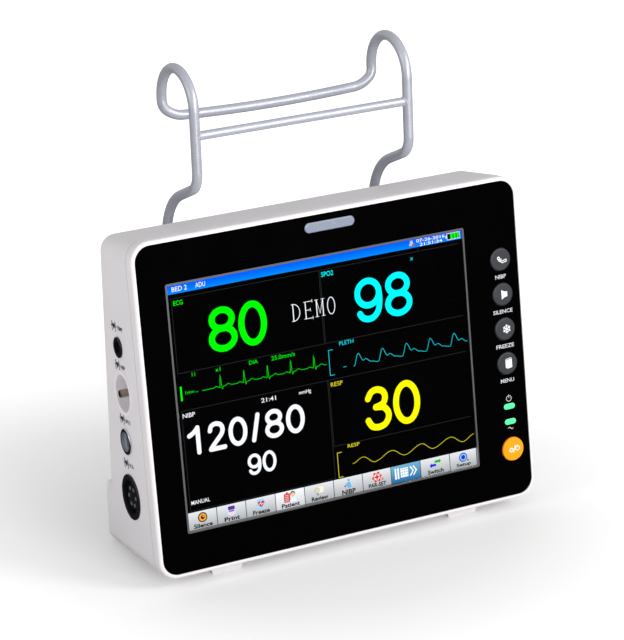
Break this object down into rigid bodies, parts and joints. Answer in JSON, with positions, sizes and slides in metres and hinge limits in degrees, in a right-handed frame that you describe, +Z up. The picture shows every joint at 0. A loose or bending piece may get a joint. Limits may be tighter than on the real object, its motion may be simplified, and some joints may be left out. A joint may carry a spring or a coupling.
{
  "type": "patient monitor",
  "caption": "Bedside patient monitor: a leaned-back drafted case with a flush glass front, soft keys, sensor sockets in one side and a folding wire rail hook.",
  "frame": {"origin": "on the table, in the middle of the footprint of the whole object with its hook up", "axes": "+X to the right seen from the front, +Y from the screen to the back, +Z up"},
  "size_m": [0.2132, 0.0882, 0.2418],
  "materials": {
    "case_white": "fine moulded texture",
    "panel_black": "polished",
    "trim_grey": "satin",
    "clear_glass": "polished",
    "display": "display cell",
    "diffuser": "milky",
    "steel": "brushed",
    "aluminium": "satin",
    "key_slate": "satin",
    "key_orange": "satin",
    "lens_green": "translucent",
    "lens_pale": "translucent",
    "board_green": "solder mask",
    "black_plastic": "satin",
    "gasket_grey": "soft",
    "pad_rubber": "soft",
    "chrome": "polished",
    "socket_blue": "satin",
    "brass": "plated",
    "hook_paint": "silver-grey metallic paint",
    "hinge_paint": "satin grey paint",
    "battery_wrap": "shrink-wrapped cells",
    "label_silver": "blank printed foil",
    "speaker_black": "pressed fibre and steel"
  },
  "bodies": {
    "case": {"alarm_lens": "lens_pale", "back_screws": "steel", "backlight": "diffuser", "battery_bay": "black_plastic", "battery_door": "case_white", "battery_pack": "battery_wrap", "board_packages": "black_plastic", "board_screws": "steel", "board_standoffs": "brass", "case_gasket": "gasket_grey", "case_screws": "steel", "chassis_plate": "aluminium", "chassis_screws": "steel", "dc_inlet": "black_plastic", "diodes": "diffuser", "display_trim": "trim_grey", "ecg_insert": "black_plastic", "ecg_pins": "chrome", "ecg_ring": "black_plastic", "front_bezel": "case_white", "front_boards": "board_green", "front_feet": "case_white", "front_panel": "panel_black", "ground_stud": "brass", "heat_sink": "aluminium", "hinge_block_left": "hinge_paint", "hinge_block_right": "hinge_paint", "key_switches": "black_plastic", "lan_port": "steel", "lcd_panel": "display", "lcd_tray": "steel", "led_lenses": "lens_green", "main_board": "board_green", "nibp_dish": "case_white", "nibp_nozzle": "chrome", "nibp_pump": "aluminium", "nibp_valve": "black_plastic", "pump_saddle": "black_plastic", "rating_plate": "label_silver", "rear_cover": "case_white", "rear_pads": "pad_rubber", "sensor_board": "board_green", "sensor_shield": "steel", "socket_nuts": "steel", "speaker": "speaker_black", "spo2_insert": "socket_blue", "spo2_ring": "chrome", "temp_jack": "black_plastic", "touch_glass": "clear_glass", "usb_port": "steel"},
    "hook": {"hook_frame": "hook_paint", "hook_crossbar": "hook_paint", "hook_stops": "hook_paint", "hook_washers": "black_plastic", "hook_clips": "steel"},
    "key_nibp": {"key_nibp": "key_slate"},
    "key_silence": {"key_silence": "key_slate"},
    "key_freeze": {"key_freeze": "key_slate"},
    "key_menu": {"key_menu": "key_slate"},
    "key_power": {"key_power": "key_orange"}
  },
  "joints": [
    {"name": "hook_fold", "type": "hinge", "parent": "case", "child": "hook", "pos_m": [0.00032, 0.03711, 0.13278], "axis": [-1, 0, 0], "range_deg": [0, 175]},
    {"name": "key_nibp_press", "type": "slide", "parent": "case", "child": "key_nibp", "axis": [0, 0.9903, -0.1392], "range_m": [0, 0.0008], "stiffness_N_per_m": 500, "springref_m": -0.001},
    {"name": "key_silence_press", "type": "slide", "parent": "case", "child": "key_silence", "axis": [0, 0.9903, -0.1392], "range_m": [0, 0.0008], "stiffness_N_per_m": 500, "springref_m": -0.001},
    {"name": "key_freeze_press", "type": "slide", "parent": "case", "child": "key_freeze", "axis": [0, 0.9903, -0.1392], "range_m": [0, 0.0008], "stiffness_N_per_m": 500, "springref_m": -0.001},
    {"name": "key_menu_press", "type": "slide", "parent": "case", "child": "key_menu", "axis": [0, 0.9903, -0.1392], "range_m": [0, 0.0008], "stiffness_N_per_m": 500, "springref_m": -0.001},
    {"name": "key_power_press", "type": "slide", "parent": "case", "child": "key_power", "axis": [0, 0.9903, -0.1392], "range_m": [0, 0.0008], "stiffness_N_per_m": 500, "springref_m": -0.001}
  ]
}
